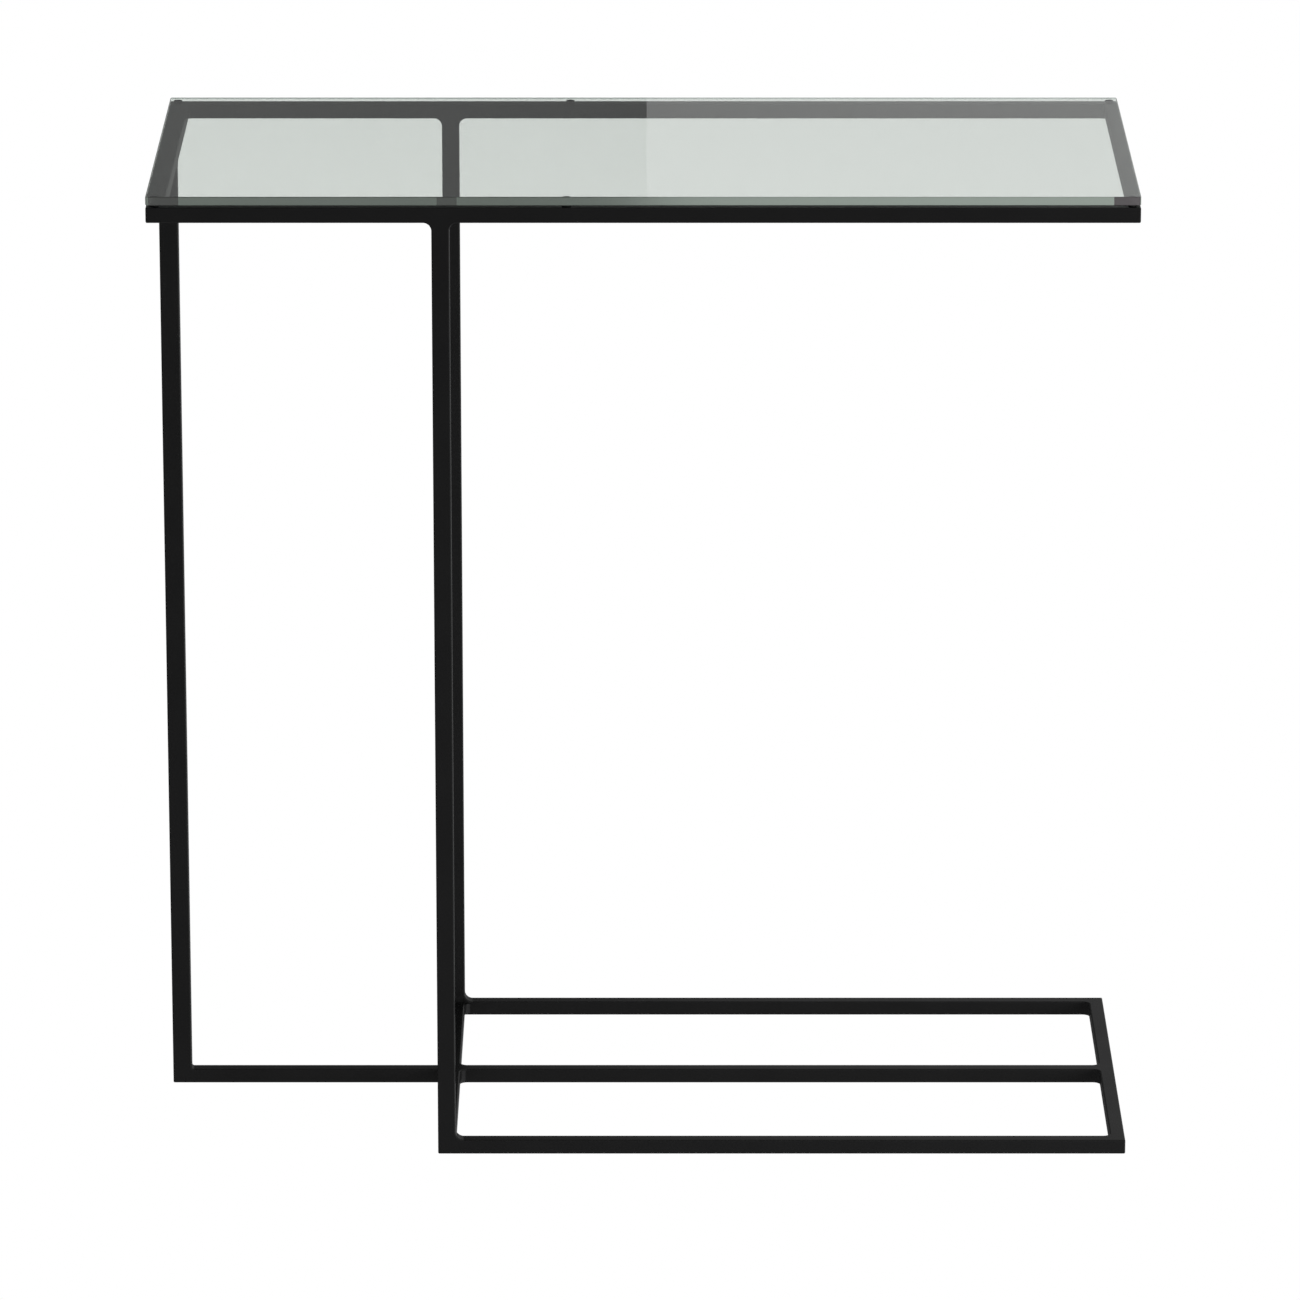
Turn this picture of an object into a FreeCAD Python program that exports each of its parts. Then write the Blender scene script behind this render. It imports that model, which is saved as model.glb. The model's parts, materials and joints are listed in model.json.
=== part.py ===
import FreeCAD, Part
import os

# A C shaped side table: a loose glass plate on a welded frame of black steel bar.
# +X points to the open side of the C, +Y to the back and +Z up. The origin is on the
# floor under the middle of the table. All sizes are in millimetres.

# Whole table
WIDTH = 660.0
DEPTH = 306.0
HEIGHT = 672.0

# Glass plate, as large as the frame, on bumpers stuck to the front and back rails
GLASS_THICKNESS = 6.0
GLASS_CORNER = 1.5          # radius of the four corners, seen from above
GLASS_ARRIS = 0.5           # narrow bevel ground along the sharp edges
BUMPER_DIAMETER = 6.0
BUMPER_HEIGHT = 1.4
BUMPER_ROUND = 0.3
BUMPER_END = 5.5            # end of the table to the centre of an end bumper
BUMPER_MIDDLE = 279.0       # left end of the table to the centre of a middle bumper

# Steel bar
BAR = 10.0                  # height of the base rails and depth of every other bar
TOP_RAIL_HEIGHT = 10.5
LEG_WIDTH = 13.0            # the left leg, and the top rail that stands on it
TOP_RIGHT_WIDTH = 8.5
UPRIGHT_WIDTH = 12.0
UPRIGHT_INSET = 189.4       # left end of the table to the left face of the uprights
EDGE_ROUND = 1.0            # every outer edge of the frame

# Radius of the hollow where a weld was ground smooth, by the place of the weld
BLEND_UPRIGHT = 5.5         # at the top and the foot of the uprights and the left leg
BLEND_BASE = 5.0            # in the corners of the base, seen from above
BLEND_TOP = 2.0             # in the corners of the top frame, seen from above
BLEND_LEG_FOOT = 1.5
WELD_SET_BACK = 1.4         # a weld left as it is stops short of the rounded edges

# Aids to the modelling
SPARE = 5.0                 # how far a cutting block reaches past the frame
PROBE = 0.05                # step away from an edge, to see which side is solid
FLAT = 0.1                  # normals that differ by less than this make no edge
TOLERANCE = 1e-6

# Places worked out from the sizes
LEFT, RIGHT = -WIDTH / 2, WIDTH / 2
FRONT, BACK = -DEPTH / 2, DEPTH / 2
FRAME_TOP = HEIGHT - GLASS_THICKNESS - BUMPER_HEIGHT
RAIL_UNDER = FRAME_TOP - TOP_RAIL_HEIGHT
LEG_RIGHT = LEFT + LEG_WIDTH
UPRIGHT_LEFT = LEFT + UPRIGHT_INSET
UPRIGHT_RIGHT = UPRIGHT_LEFT + UPRIGHT_WIDTH
FRONT_IN, BACK_IN = FRONT + BAR, BACK - BAR
RIGHT_IN = RIGHT - BAR
TOP_RIGHT_IN = RIGHT - TOP_RIGHT_WIDTH
MIDDLE_FRONT, MIDDLE_BACK = -BAR / 2, BAR / 2

X_AXIS = FreeCAD.Vector(1, 0, 0)
Y_AXIS = FreeCAD.Vector(0, 1, 0)
Z_AXIS = FreeCAD.Vector(0, 0, 1)


def block(x, y, z):
    """A box between two limits along each axis."""
    return Part.makeBox(x[1] - x[0], y[1] - y[0], z[1] - z[0], FreeCAD.Vector(x[0], y[0], z[0]))


def point(normal, across, up, along):
    """The point at (across, up) in the plane square to an axis, and at along on that axis."""
    if normal == X_AXIS:
        return FreeCAD.Vector(along, across, up)
    if normal == Y_AXIS:
        return FreeCAD.Vector(across, along, up)
    return FreeCAD.Vector(across, up, along)


def prism(normal, outline, reach):
    """A straight-sided outline, drawn square to an axis, and drawn out along it."""
    corners = [point(normal, across, up, reach[0]) for across, up in dict.fromkeys(outline)]
    face = Part.Face(Part.makePolygon(corners + corners[:1]))
    return face.extrude(normal * (reach[1] - reach[0]))


def blend(normal, corner, side, rise, radius, reach):
    """The hollow fillet in an inner corner; side and rise (1 or -1) point out of the corner."""
    across, up = corner
    far, high = across + side * radius, up + rise * radius
    belly = radius * (1 - 0.5 ** 0.5)
    start = point(normal, across, up, reach[0])
    first = point(normal, far, up, reach[0])
    middle = point(normal, across + side * belly, up + rise * belly, reach[0])
    last = point(normal, across, high, reach[0])
    wire = Part.Wire([
        Part.LineSegment(start, first).toShape(),
        Part.Arc(first, middle, last).toShape(),
        Part.LineSegment(last, start).toShape(),
    ])
    return Part.Face(wire).extrude(normal * (reach[1] - reach[0]))


def square_bars():
    """Every bar of the frame as a plain block; neighbours meet face to face."""
    top = (RAIL_UNDER, FRAME_TOP)
    foot = (0, BAR)
    inside = (FRONT_IN, BACK_IN)
    middle = (MIDDLE_FRONT, MIDDLE_BACK)
    bars = [
        block((LEFT, LEG_RIGHT), inside, top),
        block((TOP_RIGHT_IN, RIGHT), inside, top),
        block((LEFT, LEG_RIGHT), middle, (0, RAIL_UNDER)),
        block((LEG_RIGHT, UPRIGHT_LEFT), middle, foot),
        block((UPRIGHT_RIGHT, RIGHT_IN), middle, foot),
        block((UPRIGHT_LEFT, UPRIGHT_RIGHT), inside, foot),
        block((RIGHT_IN, RIGHT), inside, foot),
    ]
    for side in ((FRONT, FRONT_IN), (BACK_IN, BACK)):
        bars.append(block((LEFT, RIGHT), side, top))
        bars.append(block((UPRIGHT_LEFT, UPRIGHT_RIGHT), side, (0, RAIL_UNDER)))
        bars.append(block((UPRIGHT_RIGHT, RIGHT), side, foot))
    return bars


def upright_blends():
    """Ground welds seen from the front or the side: uprights and left leg to the rails."""
    blends = []
    for side in ((FRONT, FRONT_IN), (BACK_IN, BACK)):
        for corner, way, rise in (
            ((UPRIGHT_LEFT, RAIL_UNDER), -1, -1),
            ((UPRIGHT_RIGHT, RAIL_UNDER), 1, -1),
            ((UPRIGHT_RIGHT, BAR), 1, 1),
        ):
            blends.append(blend(Y_AXIS, corner, way, rise, BLEND_UPRIGHT, side))
    for corner, way in (((MIDDLE_FRONT, RAIL_UNDER), -1), ((MIDDLE_BACK, RAIL_UNDER), 1)):
        blends.append(blend(X_AXIS, corner, way, -1, BLEND_UPRIGHT, (LEFT, LEG_RIGHT)))
    foot = (LEG_RIGHT, BAR)
    blends.append(blend(Y_AXIS, foot, 1, 1, BLEND_LEG_FOOT, (MIDDLE_FRONT, MIDDLE_BACK)))
    return blends


def plan_blends():
    """Ground welds seen from above: the corners of the base and of the top frame."""
    blends = []
    for y, rise in ((MIDDLE_FRONT, -1), (MIDDLE_BACK, 1)):
        for x, way in ((UPRIGHT_RIGHT, 1), (UPRIGHT_LEFT, -1), (RIGHT_IN, -1)):
            blends.append(blend(Z_AXIS, (x, y), way, rise, BLEND_BASE, (0, BAR)))
    for y, rise in ((FRONT_IN, 1), (BACK_IN, -1)):
        blends.append(blend(Z_AXIS, (RIGHT_IN, y), -1, rise, BLEND_BASE, (0, BAR)))
        for x, way in ((LEG_RIGHT, 1), (TOP_RIGHT_IN, -1)):
            blends.append(blend(Z_AXIS, (x, y), way, rise, BLEND_TOP, (RAIL_UNDER, FRAME_TOP)))
    return blends


def is_outer_edge(shape, edge):
    """True where two faces meet in an edge that stands out, rather than in an inner corner."""
    middle = edge.valueAt((edge.FirstParameter + edge.LastParameter) / 2)
    faces = shape.ancestorsOfType(edge, Part.Face)
    first, second = [face.normalAt(*face.Surface.parameter(middle)) for face in faces]
    turn = first - second
    if turn.Length < FLAT:
        return False
    return not shape.isInside(middle + turn * PROBE, TOLERANCE, False)


def welded_frame():
    """All the bars as one ground and rounded shape, before it is shared out among them."""
    first, *others = square_bars()
    frame = first.fuse(others + upright_blends() + plan_blends()).removeSplitter()
    edges = [edge for edge in frame.Edges if is_outer_edge(frame, edge)]
    return frame.makeFillet(EDGE_ROUND, edges)


def upright_zone(side):
    """Room of an upright: mitred into the base rail, and halfway through each blend."""
    past = BLEND_UPRIGHT
    outline = [
        (UPRIGHT_LEFT - past, -past), (UPRIGHT_LEFT, 0), (UPRIGHT_LEFT + BAR, BAR),
        (UPRIGHT_RIGHT, BAR), (UPRIGHT_RIGHT + past, BAR + past),
        (UPRIGHT_RIGHT + past, RAIL_UNDER - past), (UPRIGHT_RIGHT, RAIL_UNDER),
        (UPRIGHT_LEFT, RAIL_UNDER), (UPRIGHT_LEFT - past, RAIL_UNDER - past),
    ]
    return prism(Y_AXIS, outline, side)


def left_leg_zone():
    """Room of the left leg: under the rail it carries, and mitred into the left base rail."""
    past = BLEND_UPRIGHT
    seen_from_side = [
        (MIDDLE_FRONT - past, -past), (MIDDLE_BACK + past, -past),
        (MIDDLE_BACK + past, RAIL_UNDER - past), (MIDDLE_BACK, RAIL_UNDER),
        (MIDDLE_FRONT, RAIL_UNDER), (MIDDLE_FRONT - past, RAIL_UNDER - past),
    ]
    seen_from_front = [
        (LEFT - past, -past), (LEFT + BAR, BAR), (LEG_RIGHT, BAR),
        (LEG_RIGHT + past, BAR + past), (LEG_RIGHT + past, FRAME_TOP), (LEFT - past, FRAME_TOP),
    ]
    wide = prism(X_AXIS, seen_from_side, (LEFT - past, LEG_RIGHT + past))
    return wide.common(prism(Y_AXIS, seen_from_front, (FRONT, BACK)))


def long_top_rail_zone(outer, inner):
    """Room of the front or the back top rail, mitred at both ends."""
    inward = 1 if inner > outer else -1
    past = inner + inward * BLEND_TOP
    outline = [
        (LEFT - SPARE, outer - inward * SPARE), (LEFT + BAR, inner), (LEG_RIGHT, inner),
        (LEG_RIGHT + BLEND_TOP, past), (TOP_RIGHT_IN - BLEND_TOP, past), (TOP_RIGHT_IN, inner),
        (TOP_RIGHT_IN, outer + inward * TOP_RIGHT_WIDTH), (RIGHT + SPARE, outer - inward * SPARE),
    ]
    return prism(Z_AXIS, outline, (RAIL_UNDER - SPARE, FRAME_TOP + SPARE))


def end_rail_zone(outer, inner, height, radius):
    """Room of a rail that closes an end of the top frame or of the base, between its mitres."""
    inward = 1 if inner > outer else -1
    past = inner + inward * radius
    mitre = min(abs(inner - outer), BAR)
    turn = outer + inward * mitre
    outline = [
        (outer - inward * SPARE, FRONT - SPARE), (turn, FRONT + mitre), (inner, FRONT_IN),
        (past, FRONT_IN + radius), (past, BACK_IN - radius), (inner, BACK_IN),
        (turn, BACK - mitre), (outer - inward * SPARE, BACK + SPARE),
    ]
    return prism(Z_AXIS, outline, (height[0] - SPARE, height[1] + SPARE))


def middle_rail_zone(left, right, left_blend, right_blend):
    """Room of a base rail on the centre line, halfway through the blends at its ends."""
    outline = [
        (left, MIDDLE_FRONT), (left + left_blend, MIDDLE_FRONT - BLEND_BASE),
        (right - right_blend, MIDDLE_FRONT - BLEND_BASE), (right, MIDDLE_FRONT),
        (right, MIDDLE_BACK), (right - right_blend, MIDDLE_BACK + BLEND_BASE),
        (left + left_blend, MIDDLE_BACK + BLEND_BASE), (left, MIDDLE_BACK),
    ]
    return prism(Z_AXIS, outline, (-SPARE, BAR + SPARE))


def bar_zones():
    """Each bar's room, in the order they are taken out; what stays is the last bar."""
    low = (-SPARE, BAR + BLEND_UPRIGHT)
    top = (RAIL_UNDER, FRAME_TOP)
    foot = (0, BAR)
    between = (FRONT_IN, BACK_IN)
    past_uprights = (UPRIGHT_LEFT - BLEND_BASE, UPRIGHT_RIGHT + BLEND_BASE)
    return [
        ("front_upright", upright_zone((FRONT - SPARE, FRONT_IN))),
        ("back_upright", upright_zone((BACK_IN, BACK + SPARE))),
        ("left_leg", left_leg_zone()),
        ("top_front_rail", long_top_rail_zone(FRONT, FRONT_IN)),
        ("top_back_rail", long_top_rail_zone(BACK, BACK_IN)),
        ("top_left_rail", end_rail_zone(LEFT, LEG_RIGHT, top, BLEND_TOP)),
        ("top_right_rail", end_rail_zone(RIGHT, TOP_RIGHT_IN, top, BLEND_TOP)),
        ("base_middle_rail", middle_rail_zone(UPRIGHT_RIGHT, RIGHT_IN, BLEND_BASE, BLEND_BASE)),
        ("base_left_rail", middle_rail_zone(LEFT - SPARE, UPRIGHT_LEFT, 0, BLEND_BASE)),
        ("base_right_rail", end_rail_zone(RIGHT, RIGHT_IN, foot, BLEND_BASE)),
        ("base_cross_rail", block(past_uprights, between, low)),
        ("base_front_rail", block((UPRIGHT_LEFT, RIGHT + SPARE), (FRONT - SPARE, 0), low)),
    ]


def steel_bars():
    """The frame shared out among its bars, which meet face to face where they were welded."""
    rest = welded_frame()
    bars = {}
    for name, zone in bar_zones():
        bars[name] = rest.common(zone)
        rest = rest.cut(zone)
    bars["base_back_rail"] = rest
    return bars


def foot_weld(inner, rise):
    """The two small welds behind the foot of an upright, where three bars meet."""
    corner = blend(Z_AXIS, (UPRIGHT_RIGHT, inner), 1, rise, BLEND_BASE,
                   (WELD_SET_BACK, BAR - WELD_SET_BACK))
    ledge = blend(X_AXIS, (inner, BAR), rise, 1, BLEND_BASE,
                  (UPRIGHT_LEFT + WELD_SET_BACK, UPRIGHT_RIGHT - WELD_SET_BACK))
    return Part.makeCompound([corner, ledge])


def bumper(x, y):
    """A low round bumper between a rail and the glass."""
    disc = Part.makeCylinder(BUMPER_DIAMETER / 2, BUMPER_HEIGHT, FreeCAD.Vector(x, y, FRAME_TOP))
    rims = [edge for edge in disc.Edges if isinstance(edge.Curve, Part.Circle)]
    return disc.makeFillet(BUMPER_ROUND, rims)


def bumpers():
    """Three bumpers on the front rail and three on the back rail."""
    made = {}
    for side, y in (("front", FRONT + BAR / 2), ("back", BACK - BAR / 2)):
        made[f"bumper_{side}_left"] = bumper(LEFT + BUMPER_END, y)
        made[f"bumper_{side}_middle"] = bumper(LEFT + BUMPER_MIDDLE, y)
        made[f"bumper_{side}_right"] = bumper(RIGHT - BUMPER_END, y)
    return made


def glass_top():
    """The loose plate, with eased corners and an arris along its top and bottom edges."""
    under = HEIGHT - GLASS_THICKNESS
    plate = block((LEFT, RIGHT), (FRONT, BACK), (under, HEIGHT))
    upright = [edge for edge in plate.Edges if abs(edge.tangentAt(0).z) > 1 - FLAT]
    plate = plate.makeFillet(GLASS_CORNER, upright)
    level = [edge for edge in plate.Edges if abs(edge.tangentAt(edge.FirstParameter).z) < FLAT]
    return plate.makeChamfer(GLASS_ARRIS, level)


def main():
    pieces = steel_bars()
    pieces["front_foot_weld"] = foot_weld(FRONT_IN, 1)
    pieces["back_foot_weld"] = foot_weld(BACK_IN, -1)
    pieces.update(bumpers())
    pieces["glass_top"] = glass_top()
    os.makedirs("parts", exist_ok=True)
    for name, shape in pieces.items():
        shape.exportStep(f"parts/{name}.step")
        print(f"{name}: {len(shape.Solids)} solid, {shape.Volume / 1000:.2f} cm3, {shape.isValid()}")


main()
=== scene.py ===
# %% [markdown]
# # A C shaped side table in glass and black steel
# The table is a loose plate of clear glass on a welded frame of slim square bar. The construction
# is already a finished CAD model: every bar, bumper and weld is a mesh of its real size. This
# lesson gives those meshes their finish, makes the glass plate again with two finishes, and adds a
# floor, a room, a light and a camera. Meshes that are right can stay as they are, so most of the
# work is in the materials.

# %% Load the frame
import json
import math

import bmesh
import bpy
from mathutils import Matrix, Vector


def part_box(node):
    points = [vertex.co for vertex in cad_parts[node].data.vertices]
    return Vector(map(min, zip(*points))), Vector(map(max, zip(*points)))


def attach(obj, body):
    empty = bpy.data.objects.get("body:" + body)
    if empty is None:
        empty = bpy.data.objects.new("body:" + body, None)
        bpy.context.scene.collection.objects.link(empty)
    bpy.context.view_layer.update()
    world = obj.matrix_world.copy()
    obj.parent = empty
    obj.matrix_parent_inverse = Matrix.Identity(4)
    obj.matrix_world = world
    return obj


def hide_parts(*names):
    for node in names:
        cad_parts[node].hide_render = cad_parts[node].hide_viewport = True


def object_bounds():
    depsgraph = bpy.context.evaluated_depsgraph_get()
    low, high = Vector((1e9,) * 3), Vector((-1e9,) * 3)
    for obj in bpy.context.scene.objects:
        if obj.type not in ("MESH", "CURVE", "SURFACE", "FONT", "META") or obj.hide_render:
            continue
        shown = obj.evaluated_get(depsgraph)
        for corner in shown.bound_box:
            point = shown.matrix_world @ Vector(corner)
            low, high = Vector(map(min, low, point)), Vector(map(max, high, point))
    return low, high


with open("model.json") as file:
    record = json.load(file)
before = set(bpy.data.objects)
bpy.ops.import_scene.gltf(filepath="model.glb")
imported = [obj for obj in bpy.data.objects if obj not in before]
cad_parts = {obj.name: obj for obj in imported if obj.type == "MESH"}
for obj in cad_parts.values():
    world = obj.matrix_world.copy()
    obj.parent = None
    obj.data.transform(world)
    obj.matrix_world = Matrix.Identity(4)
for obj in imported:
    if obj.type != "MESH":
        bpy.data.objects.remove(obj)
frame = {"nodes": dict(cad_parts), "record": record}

scene = bpy.context.scene
nodes = frame["nodes"]
cad_low, cad_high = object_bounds()
width, depth, height = cad_high - cad_low
print(f"{len(nodes)} nodes; the table is {width:.3f} x {depth:.3f} x {height:.3f} m")

# %% [markdown]
# ## The camera
# The table is seen from far away with a long lens, from a little above the top, so that the
# uprights stay almost parallel. A long lens could be had by moving close and cropping, but then the
# near corner of the glass would look much larger than the far one. The place and the tilt are plain
# numbers here, because a camera is easier to match by its place than by what it points at.

# %% Camera
CAMERA_PLACE = (0.0045, -5.5131, 1.9197)
CAMERA_TILT = math.radians(16.229)
SENSOR_WIDTH = 36.0
LENS = 229.78

camera_data = bpy.data.cameras.new("table_camera")
camera_data.sensor_width = SENSOR_WIDTH
camera_data.lens = LENS
camera = bpy.data.objects.new("table_camera", camera_data)
camera.location = CAMERA_PLACE
camera.rotation_euler = (math.pi / 2 - CAMERA_TILT, 0, 0)
scene.collection.objects.link(camera)
scene.camera = camera
print(f"camera with a {LENS:.0f} mm lens, {-CAMERA_PLACE[1]:.2f} m in front of the table")

# %% [markdown]
# ## Small helpers for node trees
# A material is a tree of nodes. Writing every setting on a line of its own hides what the tree
# does, so short helpers add a node with its settings, start an empty material, and put a finished
# one on the CAD pieces. They keep the cells below readable.

# %% Node helpers
def add_node(tree, kind, inputs=None, **settings):
    """A new node of that kind, with its own settings and the values of its inputs."""
    node = tree.nodes.new(kind)
    for name, value in settings.items():
        setattr(node, name, value)
    for name, value in (inputs or {}).items():
        node.inputs[name].default_value = value
    return node


def new_material(name):
    """An empty node material, its tree and the Surface socket of its output."""
    material = bpy.data.materials.new(name)
    material.use_nodes = True
    material.node_tree.nodes.clear()
    output = add_node(material.node_tree, "ShaderNodeOutputMaterial")
    return material, material.node_tree, output


def dress(material, names):
    """Put a material in every slot of these CAD nodes."""
    for name in names:
        for slot in nodes[name].material_slots:
            slot.material = material
    print(f"{material.name} on {len(names)} nodes")

# %% [markdown]
# ## A grain that several finishes share
# Powder coat and rubber have a fine unevenness that breaks up a highlight, over slower patches of
# tone, and a ground glass edge has such patches too. They could be painted or taken from a picture,
# but noise in the object's own coordinates needs neither and has no seams. One node group makes
# both, with their sizes as inputs, so that each material can call for its own scale.

# %% Grain group
ANY_SCALE = 100.0
GRAIN_DETAIL, MOTTLE_DETAIL = 2.0, 4.0
NOISE_ROUGHNESS = 0.55


def build_grain_group():
    """Fine grain over a slower mottle, from object coordinates: both run from 0 to 1."""
    group = bpy.data.node_groups.new("fine_grain", "ShaderNodeTree")
    for name in ("Grain Scale", "Mottle Scale"):
        socket = group.interface.new_socket(name, in_out="INPUT", socket_type="NodeSocketFloat")
        socket.default_value = ANY_SCALE
    for name in ("Grain", "Mottle"):
        group.interface.new_socket(name, in_out="OUTPUT", socket_type="NodeSocketFloat")
    start = add_node(group, "NodeGroupInput")
    end = add_node(group, "NodeGroupOutput")
    place = add_node(group, "ShaderNodeTexCoord")
    for name, detail in (("Grain", GRAIN_DETAIL), ("Mottle", MOTTLE_DETAIL)):
        noise = add_node(group, "ShaderNodeTexNoise", {
            "Detail": detail, "Roughness": NOISE_ROUGHNESS,
        })
        group.links.new(place.outputs["Object"], noise.inputs["Vector"])
        group.links.new(start.outputs[f"{name} Scale"], noise.inputs["Scale"])
        group.links.new(noise.outputs["Fac"], end.inputs[name])
    return group


grain_group = build_grain_group()
print("grain group with inputs", [socket.name for socket in grain_group.interface.items_tree][:2])

# %% [markdown]
# ## Values for the sockets
# The grain is a value from 0 to 1, and the finishes need colours, ranges and relief made of it.
# The Mix node has sockets for each type of data, several of them with the same name, so those for
# colours are picked by number.

# %% Grain, colours, ranges and relief
COLOUR_A, COLOUR_B, COLOUR_RESULT = 6, 7, 2
WHOLE = (0.0, 1.0)


def add_grain(tree, grain_size, mottle_size):
    """The grain group in a material, for grains and patches of these sizes in metres."""
    return add_node(tree, "ShaderNodeGroup", {
        "Grain Scale": 1 / grain_size, "Mottle Scale": 1 / mottle_size,
    }, node_tree=grain_group)


def add_blend(tree, factor, low, high):
    """A colour between two colours, and the socket that puts it out; low may be a socket."""
    blend = add_node(tree, "ShaderNodeMix", {COLOUR_B: high}, data_type="RGBA")
    if isinstance(low, tuple):
        blend.inputs[COLOUR_A].default_value = low
    else:
        tree.links.new(low, blend.inputs[COLOUR_A])
    tree.links.new(factor, blend.inputs["Factor"])
    return blend.outputs[COLOUR_RESULT]


def add_range(tree, factor, values, span=WHOLE):
    """A value that goes from the first to the last value as a factor crosses a span."""
    (low, high), (start, end) = values, span
    spread = add_node(tree, "ShaderNodeMapRange", {
        "From Min": start, "From Max": end, "To Min": low, "To Max": high,
    })
    tree.links.new(factor, spread.inputs["Value"])
    return spread.outputs["Result"]


def add_bump(tree, factor, strength, deep):
    """Small relief from a value, and the socket with its normals."""
    bump = add_node(tree, "ShaderNodeBump", {"Strength": strength, "Distance": deep})
    tree.links.new(factor, bump.inputs["Height"])
    return bump.outputs["Normal"]


print("helpers for grain, colours, ranges and relief")

# %% [markdown]
# ## Black powder coat
# The frame is sprayed with dry black powder and baked. The body of the coat is matt and almost
# black. Only a thin skin of resin on top is glossy, and it covers the pigment in part, so the coat
# mirrors far less than varnish does. A glossy black would show the whole room in the rails. A matt
# body under a weak clear coat gives the dark flat sides and the faint sheen along the tops. The
# coat's weight changes slowly over the bar, and a small relief makes the orange peel of powder.

# %% Powder coat material
COAT_COLOUR = (0.019, 0.019, 0.0193, 1.0)
COAT_DUSTY = (0.025, 0.025, 0.0253, 1.0)
COAT_PEEL_SIZE = 0.0011
COAT_PATCH_SIZE = 0.035
COAT_IOR = 1.5
COAT_WEIGHT = (0.40, 0.50)
COAT_GLOSS = 0.20
COAT_BODY_ROUGHNESS = (0.55, 0.70)
COAT_PEEL = 0.12
COAT_PEEL_DEPTH = 0.00012


def build_powder_coat():
    """Matt black pigment under a thin, partly glossy skin, with fine peel."""
    material, tree, output = new_material("black_powder_coat")
    skin = add_node(tree, "ShaderNodeBsdfPrincipled", {
        "Specular IOR Level": 0.0, "Coat IOR": COAT_IOR, "Coat Roughness": COAT_GLOSS,
    })
    tree.links.new(skin.outputs["BSDF"], output.inputs["Surface"])
    grain = add_grain(tree, COAT_PEEL_SIZE, COAT_PATCH_SIZE)
    patches = grain.outputs["Mottle"]
    tree.links.new(add_blend(tree, patches, COAT_COLOUR, COAT_DUSTY), skin.inputs["Base Color"])
    tree.links.new(add_range(tree, patches, COAT_BODY_ROUGHNESS), skin.inputs["Roughness"])
    tree.links.new(add_range(tree, patches, COAT_WEIGHT), skin.inputs["Coat Weight"])
    peel = add_bump(tree, grain.outputs["Grain"], COAT_PEEL, COAT_PEEL_DEPTH)
    tree.links.new(peel, skin.inputs["Normal"])
    return material


steel_names = [
    row["node"] for row in frame["record"]["subparts"] if row["material_slot"] == "black_steel"
]
dress(build_powder_coat(), steel_names)

# %% [markdown]
# ## Bumper rubber
# Six soft dark discs keep the glass off the steel. They are moulded, so they are duller than the
# coat and have no peel, only a dry bloom that makes them a shade greyer in places.

# %% Bumper material
RUBBER_COLOUR = (0.010, 0.010, 0.010, 1.0)
RUBBER_BLOOM = (0.022, 0.022, 0.022, 1.0)
RUBBER_GRAIN_SIZE = 0.0006
RUBBER_BLOOM_SIZE = 0.004
RUBBER_ROUGHNESS = 0.62
RUBBER_GRAIN = 0.2
RUBBER_GRAIN_DEPTH = 0.0001


def build_rubber():
    """Matt dark rubber with a dry bloom and a fine moulded grain."""
    material, tree, output = new_material("bumper_rubber")
    skin = add_node(tree, "ShaderNodeBsdfPrincipled", {"Roughness": RUBBER_ROUGHNESS})
    tree.links.new(skin.outputs["BSDF"], output.inputs["Surface"])
    grain = add_grain(tree, RUBBER_GRAIN_SIZE, RUBBER_BLOOM_SIZE)
    bloom = add_blend(tree, grain.outputs["Mottle"], RUBBER_COLOUR, RUBBER_BLOOM)
    tree.links.new(bloom, skin.inputs["Base Color"])
    relief = add_bump(tree, grain.outputs["Grain"], RUBBER_GRAIN, RUBBER_GRAIN_DEPTH)
    tree.links.new(relief, skin.inputs["Normal"])
    return material


bumper_names = [name for name in nodes if name.startswith("bumper_")]
dress(build_rubber(), bumper_names)

# %% [markdown]
# ## The glass plate
# A cut plate has two finishes: clear faces, and an edge that was ground and polished by hand. The
# CAD plate is one mesh with one slot, so the plate is made again here, at the same size, with a
# slot for each. A cube is stretched to the plate, its four upright edges are rounded, and then the
# sharp rims get the narrow flat, the arris, that keeps them from chipping. Beveling in that order
# lets the arris run round the corners without a break.

# %% Plate mesh
PLATE_CORNER = 0.0015
PLATE_ARRIS = 0.0005
CORNER_STEPS = 6
FLAT_NORMAL = 0.9
FACE_SLOT, EDGE_SLOT = 0, 1


def bevel(shape, edges, wide, segments):
    """Round or flatten edges of a bmesh."""
    bmesh.ops.bevel(
        shape, geom=edges, offset=wide, segments=segments,
        profile=0.5, affect="EDGES", material=-1,
    )


def lies_flat(face):
    """True for the top and the underside of a plate."""
    return abs(face.normal.z) > FLAT_NORMAL


def build_plate_mesh():
    """The glass plate, with eased corners and an arris along both rims."""
    low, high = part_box("glass_top")
    shape = bmesh.new()
    bmesh.ops.create_cube(shape, size=1)
    bmesh.ops.scale(shape, vec=high - low, verts=shape.verts)
    bmesh.ops.translate(shape, vec=(low + high) / 2, verts=shape.verts)
    upright = [edge for edge in shape.edges if not any(map(lies_flat, edge.link_faces))]
    bevel(shape, upright, PLATE_CORNER, CORNER_STEPS)
    shape.normal_update()
    rims = [edge for edge in shape.edges if sum(map(lies_flat, edge.link_faces)) == 1]
    bevel(shape, rims, PLATE_ARRIS, 1)
    shape.normal_update()
    for face in shape.faces:
        face.material_index = FACE_SLOT if lies_flat(face) else EDGE_SLOT
    mesh = bpy.data.meshes.new("glass_plate")
    shape.to_mesh(mesh)
    shape.free()
    return mesh


plate_mesh = build_plate_mesh()
print(f"glass plate with {len(plate_mesh.polygons)} faces")

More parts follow.
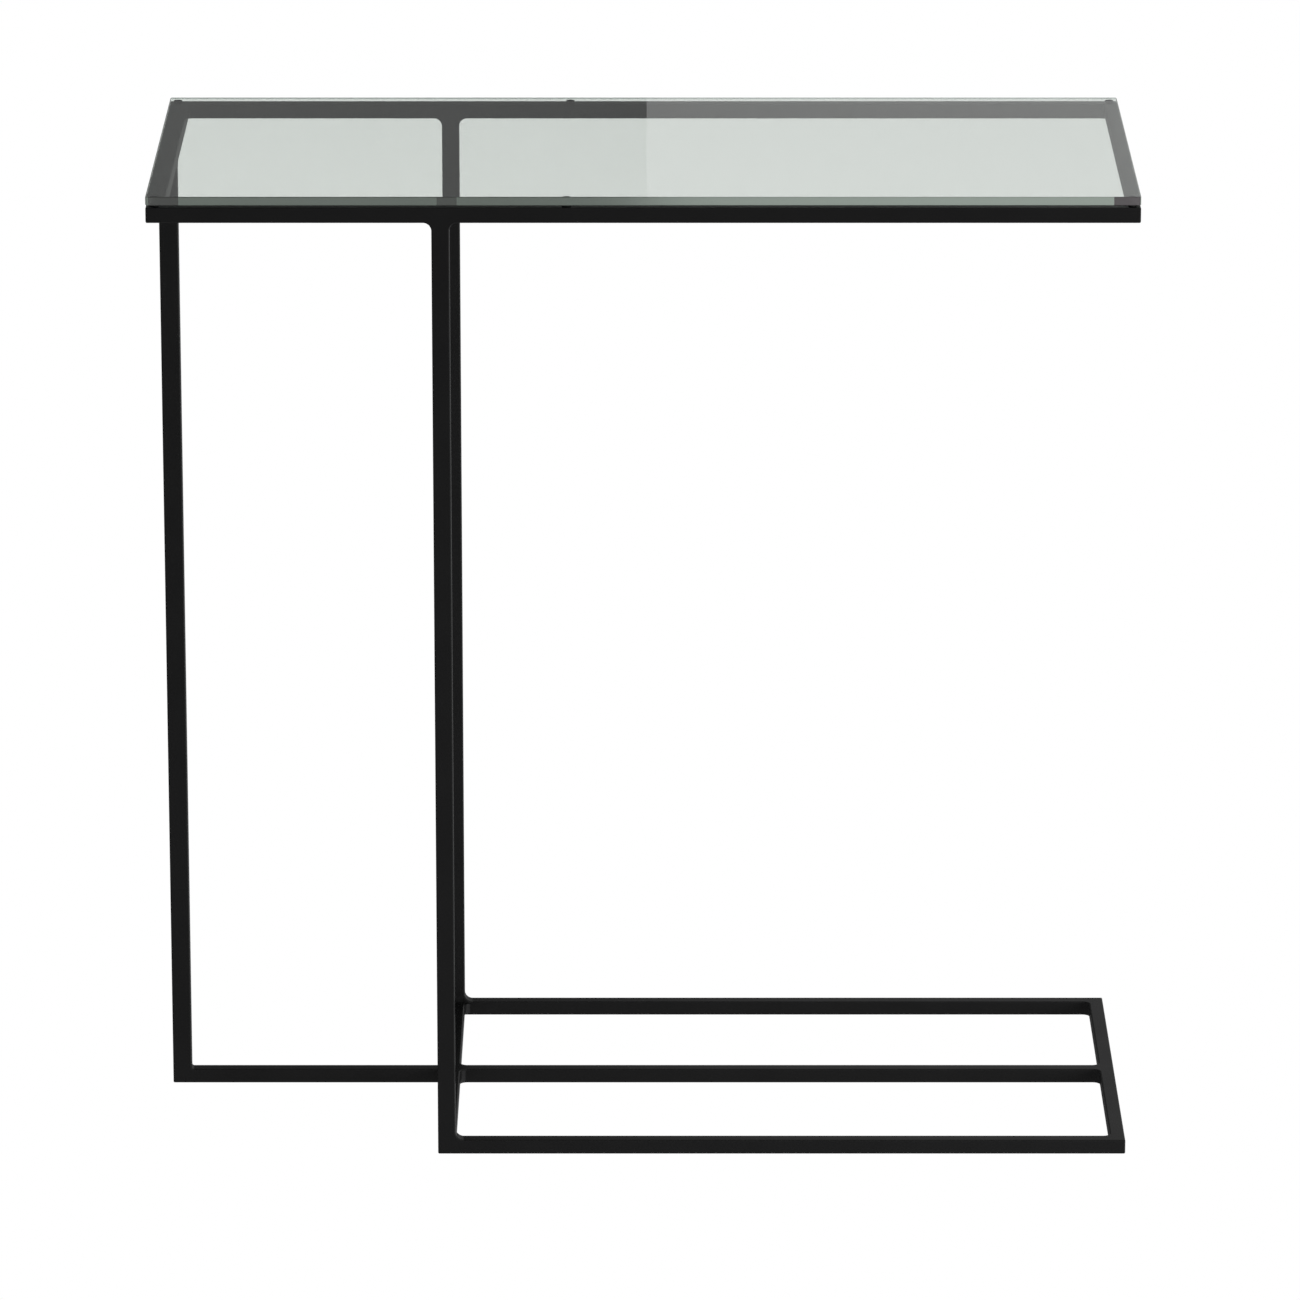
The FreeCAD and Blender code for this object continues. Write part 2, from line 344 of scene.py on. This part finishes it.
# %% [markdown]
# ## Clear faces
# Float glass is almost clear through its thickness and greener the further light travels in it,
# because a little iron takes the red out. The faces get a smooth glass shader with a faint tint,
# and the body a volume that absorbs a little more red than green.

# %% Face glass
GLASS_IOR = 1.52
GLASS_TINT = (0.925, 0.987, 0.940, 1.0)
GLASS_BODY = (0.55, 0.90, 0.72, 1.0)
GLASS_DENSITY = 0.3


def build_face_glass():
    """Smooth clear glass with a faint tint and a body that is green over a long way."""
    material, tree, output = new_material("clear_float_glass")
    pane = add_node(tree, "ShaderNodeBsdfPrincipled", {
        "Base Color": GLASS_TINT, "IOR": GLASS_IOR, "Transmission Weight": 1.0, "Roughness": 0.0,
    })
    tree.links.new(pane.outputs["BSDF"], output.inputs["Surface"])
    body = add_node(tree, "ShaderNodeVolumeAbsorption", {
        "Color": GLASS_BODY, "Density": GLASS_DENSITY,
    })
    tree.links.new(body.outputs["Volume"], output.inputs["Volume"])
    return material


plate_mesh.materials.append(build_face_glass())
print(f"{plate_mesh.materials[FACE_SLOT].name} with an index of refraction of {GLASS_IOR}")

# %% [markdown]
# ## Choosing between two values
# The edge, the floor and the room change from one value to another by place, by the side that is
# seen or by the kind of ray. A Mix node does that with a factor of 0 or 1, which a test or a ray's
# own output gives, and softly with a factor in between. A helper for each step lets a rule be read
# as one line, and a chain of choices, read from the first to the last, is the whole rule.

# %% Choices and tests
def add_choice(tree, factor, no, yes):
    """One of two values, or sockets, by a factor of 0 or 1, and a mix of them in between."""
    choice = add_node(tree, "ShaderNodeMix", data_type="FLOAT")
    tree.links.new(factor, choice.inputs["Factor"])
    for name, value in (("A", no), ("B", yes)):
        if isinstance(value, float):
            choice.inputs[name].default_value = value
        else:
            tree.links.new(value, choice.inputs[name])
    return choice.outputs["Result"]


def add_test(tree, value, limit):
    """1 where a value is past a limit, and 0 elsewhere."""
    test = add_node(tree, "ShaderNodeMath", operation="GREATER_THAN")
    tree.links.new(value, test.inputs[0])
    test.inputs[1].default_value = limit
    return test.outputs[0]


def add_product(tree, first, second):
    """Two values multiplied."""
    product = add_node(tree, "ShaderNodeMath", operation="MULTIPLY")
    tree.links.new(first, product.inputs[0])
    tree.links.new(second, product.inputs[1])
    return product.outputs[0]


print("helpers for choices, tests and products")

# %% [markdown]
# ## Polished edge
# Light that gets into a plate is trapped between its faces and comes out at the edge, so the edge
# is never clear: it looks like a grey green strip that mirrors the room. Following that light takes
# dozens of bounces. A finish that is part mirror, part milky and part glass gives the same strip in
# one. Where a bar runs away under the plate, the edge would mirror its dark, and that reflection is
# painted: bands across the edge darken its colour there by their own depths. The edge is ground a
# little out of square, which one slope in the relief makes: it turns the mirror up from the floor
# to the room. The far edge is also seen through the top of the plate, from inside, where it has to
# stay nearly as light as what is behind it. There it is part clean mirror and part see-through, and
# Backfacing tells the two sides apart.
# The plate throws no shadow, because light goes on through it to the bars.

# %% Edge glass
EDGE_LIGHT = (0.82, 0.94, 0.845, 1.0)
EDGE_GREEN = (0.76, 0.88, 0.785, 1.0)
EDGE_INSIDE = (0.99, 1.0, 0.995, 1.0)
EDGE_INSIDE_ALPHA = 0.52
# Colour of the painted reflection of the dark bars in the edge.
PAINTED_BAR_REFLECTION_COLOUR = (0.280, 0.262, 0.270, 1.0)
EDGE_MIRROR = 0.74
EDGE_CLEAR = 0.52
EDGE_ROUGHNESS = 0.05
EDGE_SLOPE = 0.23
EDGE_PATCH_SIZE = 0.05
# Where the bars run under the plate, and how far their painted reflection darkens the edge.
PAINTED_BAR_REFLECTION_BANDS = ((-0.328, -0.308, 0.73), (-0.1369, -0.1236, 0.59), (0.312, 0.3295, 1.0))


def add_bands(tree, along, bands):
    """The depth of the band that a coordinate lies in, and 0 outside the bands."""
    total = 0.0
    for first, last, depth in bands:
        band = add_node(tree, "ShaderNodeMath", operation="COMPARE")
        tree.links.new(along, band.inputs[0])
        band.inputs[1].default_value = (first + last) / 2
        band.inputs[2].default_value = (last - first) / 2
        total = add_choice(tree, band.outputs[0], total, depth)
    return total


def build_edge_glass():
    """Ground and polished edge: part mirror, part milky, part glass, with painted bar reflections.
    """
    material, tree, output = new_material("polished_glass_edge")
    strip = add_node(tree, "ShaderNodeBsdfPrincipled", {
        "IOR": GLASS_IOR, "Metallic": EDGE_MIRROR, "Transmission Weight": EDGE_CLEAR,
        "Roughness": EDGE_ROUGHNESS,
    })
    tree.links.new(strip.outputs["BSDF"], output.inputs["Surface"])
    grain = add_grain(tree, EDGE_PATCH_SIZE, EDGE_PATCH_SIZE)
    tint = add_blend(tree, grain.outputs["Mottle"], EDGE_LIGHT, EDGE_GREEN)
    place = add_node(tree, "ShaderNodeTexCoord")
    axes = add_node(tree, "ShaderNodeSeparateXYZ")
    tree.links.new(place.outputs["Object"], axes.inputs["Vector"])
    # Painted reflection: over each bar the edge colour turns dark by the band's depth.
    tint = add_blend(tree, add_bands(tree, axes.outputs["X"], PAINTED_BAR_REFLECTION_BANDS), tint, PAINTED_BAR_REFLECTION_COLOUR)
    inside = add_node(tree, "ShaderNodeNewGeometry").outputs["Backfacing"]
    tree.links.new(add_blend(tree, inside, tint, EDGE_INSIDE), strip.inputs["Base Color"])
    tree.links.new(add_choice(tree, inside, 1.0, EDGE_INSIDE_ALPHA), strip.inputs["Alpha"])
    slope = add_node(tree, "ShaderNodeBump", {"Distance": EDGE_SLOPE}, invert=True)
    tree.links.new(add_choice(tree, inside, axes.outputs["Z"], 0.0), slope.inputs["Height"])
    tree.links.new(slope.outputs["Normal"], strip.inputs["Normal"])
    return material


plate_mesh.materials.append(build_edge_glass())
plate = bpy.data.objects.new("glass_plate", plate_mesh)
scene.collection.objects.link(plate)
plate.visible_shadow = False
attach(plate, "glass")
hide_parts("glass_top")
print("plate in place of glass_top, with", [slot.material.name for slot in plate.material_slots])

# %% [markdown]
# ## Floor light
# The table stands on a white sweep, lit so much brighter than the table that it burns out to plain
# white and no shadow is left. Lamps strong enough to do that would turn the black steel grey, so
# the floor glows by itself and Light Path gives each kind of ray its own value. The camera sees
# white. The steel gets a softer light, from a patch a few metres wide. Straight through the glass
# the sweep close by is plain white, which shows the tint of the plate from above. Farther off it is
# brighter, because the plate is seen at a slant there and lets less through, and on the right its
# light falls off. Glossy Depth leaves it out of what has been mirrored on the way.

# %% Floor material
WHITE = 1.0
SWEEP_NEAR, SWEEP_FAR = 1.0, 1.21
SWEEP_REACH = (1.0, 2.4)
SWEEP_FAR_RIGHT = (1.087, 1.030)
SWEEP_SPREAD = (0.0, 0.45)
SWEEP_SEAM = 0.0011
FLOOR_LIT = 0.76
FLOOR_LIT_REACH = 4.5


def build_floor_material():
    """White to the eye, toned by place through the glass, and a dim grey as a source of light."""
    material, tree, output = new_material("pale_floor")
    path = add_node(tree, "ShaderNodeLightPath")
    place = add_node(tree, "ShaderNodeTexCoord")
    axes = add_node(tree, "ShaderNodeSeparateXYZ")
    tree.links.new(place.outputs["Object"], axes.inputs["Vector"])
    reach = add_node(tree, "ShaderNodeVectorMath", operation="LENGTH")
    tree.links.new(place.outputs["Object"], reach.inputs[0])
    right = add_test(tree, axes.outputs["X"], SWEEP_SEAM)
    dimmer = add_range(tree, axes.outputs["X"], SWEEP_FAR_RIGHT, SWEEP_SPREAD)
    sweep = add_choice(tree, right, SWEEP_FAR, dimmer)
    far = add_range(tree, reach.outputs["Value"], WHOLE, SWEEP_REACH)
    sweep = add_choice(tree, far, SWEEP_NEAR, sweep)
    unlit = add_test(tree, reach.outputs["Value"], FLOOR_LIT_REACH)
    light = add_choice(tree, unlit, FLOOR_LIT, 0.0)
    mirrored = add_test(tree, path.outputs["Glossy Depth"], 0.0)
    sweep = add_choice(tree, mirrored, sweep, 0.0)
    light = add_choice(tree, path.outputs["Is Transmission Ray"], light, sweep)
    glow = add_node(tree, "ShaderNodeEmission")
    seen = add_choice(tree, path.outputs["Is Camera Ray"], light, WHITE)
    tree.links.new(seen, glow.inputs["Strength"])
    tree.links.new(glow.outputs["Emission"], output.inputs["Surface"])
    return material


pale_floor = build_floor_material()
print(f"{pale_floor.name} is toned up to {SWEEP_REACH[1]} m away and lights the steel up to "
      f"{FLOOR_LIT_REACH} m")

# %% [markdown]
# ## Floor mesh
# One large square is enough, because the sweep has no shape of its own. It is kept out of
# reflections, where the room stands for it.

# %% Floor plane
FLOOR_HALF = 30.0

floor_mesh = bpy.data.meshes.new("floor")
shape = bmesh.new()
bmesh.ops.create_grid(shape, x_segments=1, y_segments=1, size=FLOOR_HALF)
shape.to_mesh(floor_mesh)
shape.free()
floor = bpy.data.objects.new("floor", floor_mesh)
floor.visible_glossy = False
scene.collection.objects.link(floor)
floor_mesh.materials.append(pale_floor)
print(f"floor {2 * FLOOR_HALF:.0f} m across")

# %% [markdown]
# ## The room
# Glass and gloss show what is around them, so the room is part of the finish. It is a sky made of
# soft walls of light: a dim one on the left and a brighter one on the right, each dimmer higher up.
# Below the horizon it stands for the floor that gloss sees: nearly black in front, grey behind the
# table and paler behind on the right, which shows along the inner sides of the end bars, and bright
# aside, which draws the light line down the right edge of each upright. Panels with area lights
# would do the same, but a sky has no distance, so it never stands in the way of a camera. Light
# Path keeps the walls for gloss and glass, and gives matt surfaces one soft value, so that each can
# be set without spoiling the other.

# %% Room
ROOM_SEAM = -0.0004
LEFT_WALL, RIGHT_WALL = (0.215, 0.175), (0.450, 0.520)
LEFT_SPREAD, RIGHT_SPREAD = (-0.055, 0.0), (0.0, 0.055)
LEFT_FADE, RIGHT_FADE = (1.0, 0.66), (1.0, 0.92)
FADE_HEIGHT = (0.26, 0.34)
FLOOR_IN_FRONT = 0.008
FLOOR_BEHIND = (0.14, 0.53)
BEHIND_START = 0.9
BEHIND_SPREAD = (0.03, 0.07)
FLOOR_ASIDE = 1.0
ASIDE_START = 0.5
ROOM_SOFT = 0.15


def add_wall(tree, axes, lights, spread, fades):
    """A soft wall whose light changes over its spread, and fades to a share of it higher up."""
    wall = add_range(tree, axes.outputs["X"], lights, spread)
    fade = add_range(tree, axes.outputs["Z"], fades, FADE_HEIGHT)
    return add_product(tree, wall, fade)


def build_room():
    """A sky with a dim left and a bright right, over a floor that is dark except on the right."""
    world = bpy.data.worlds.new("soft_room")
    world.use_nodes = True
    tree = world.node_tree
    tree.nodes.clear()
    output = add_node(tree, "ShaderNodeOutputWorld")
    sky = add_node(tree, "ShaderNodeBackground")
    tree.links.new(sky.outputs["Background"], output.inputs["Surface"])
    way = add_node(tree, "ShaderNodeTexCoord")
    axes = add_node(tree, "ShaderNodeSeparateXYZ")
    tree.links.new(way.outputs["Generated"], axes.inputs["Vector"])
    right = add_test(tree, axes.outputs["X"], ROOM_SEAM)
    above = add_test(tree, axes.outputs["Z"], 0.0)
    dim = add_wall(tree, axes, LEFT_WALL, LEFT_SPREAD, LEFT_FADE)
    bright = add_wall(tree, axes, RIGHT_WALL, RIGHT_SPREAD, RIGHT_FADE)
    behind = add_test(tree, axes.outputs["Y"], BEHIND_START)
    aside = add_test(tree, axes.outputs["X"], ASIDE_START)
    back = add_range(tree, axes.outputs["X"], FLOOR_BEHIND, BEHIND_SPREAD)
    below = add_choice(tree, behind, FLOOR_IN_FRONT, back)
    below = add_choice(tree, aside, below, FLOOR_ASIDE)
    room = add_choice(tree, above, below, add_choice(tree, right, dim, bright))
    path = add_node(tree, "ShaderNodeLightPath")
    light = add_choice(tree, path.outputs["Is Glossy Ray"], ROOM_SOFT, room)
    light = add_choice(tree, path.outputs["Is Transmission Ray"], light, room)
    seen = add_choice(tree, path.outputs["Is Camera Ray"], light, WHITE)
    tree.links.new(seen, sky.inputs["Strength"])
    return world


scene.world = build_room()
scene.view_settings.view_transform = "Standard"
print("room lit from the right")

# %% [markdown]
# ## Soft light
# The sweep and the room light the table evenly from all sides, which is soft but has no direction.
# One large weak light low on the right brings it back: the steel gets a little paler from left to
# right. It is kept out of reflections and out of sight, so that the gloss and the glass show only
# the room.

# %% Soft light
LIGHT_PLACE = (1.0, -0.9, 0.15)
LIGHT_AIM = (0.2, 0.0, 0.10)
LIGHT_WIDTH, LIGHT_HEIGHT = 0.8, 0.25
LIGHT_POWER = 3.75


def add_soft_light():
    """A low, wide area light, turned to the table and left out of every reflection."""
    data = bpy.data.lights.new("soft_right", "AREA")
    data.shape = "RECTANGLE"
    data.size, data.size_y = LIGHT_WIDTH, LIGHT_HEIGHT
    data.energy = LIGHT_POWER
    light = bpy.data.objects.new("soft_right", data)
    light.location = LIGHT_PLACE
    away = Vector(LIGHT_PLACE) - Vector(LIGHT_AIM)
    light.rotation_euler = away.to_track_quat("Z", "Y").to_euler()
    light.visible_camera = light.visible_glossy = light.visible_transmission = False
    scene.collection.objects.link(light)


add_soft_light()
print(f"soft light of {LIGHT_POWER} W on the right")
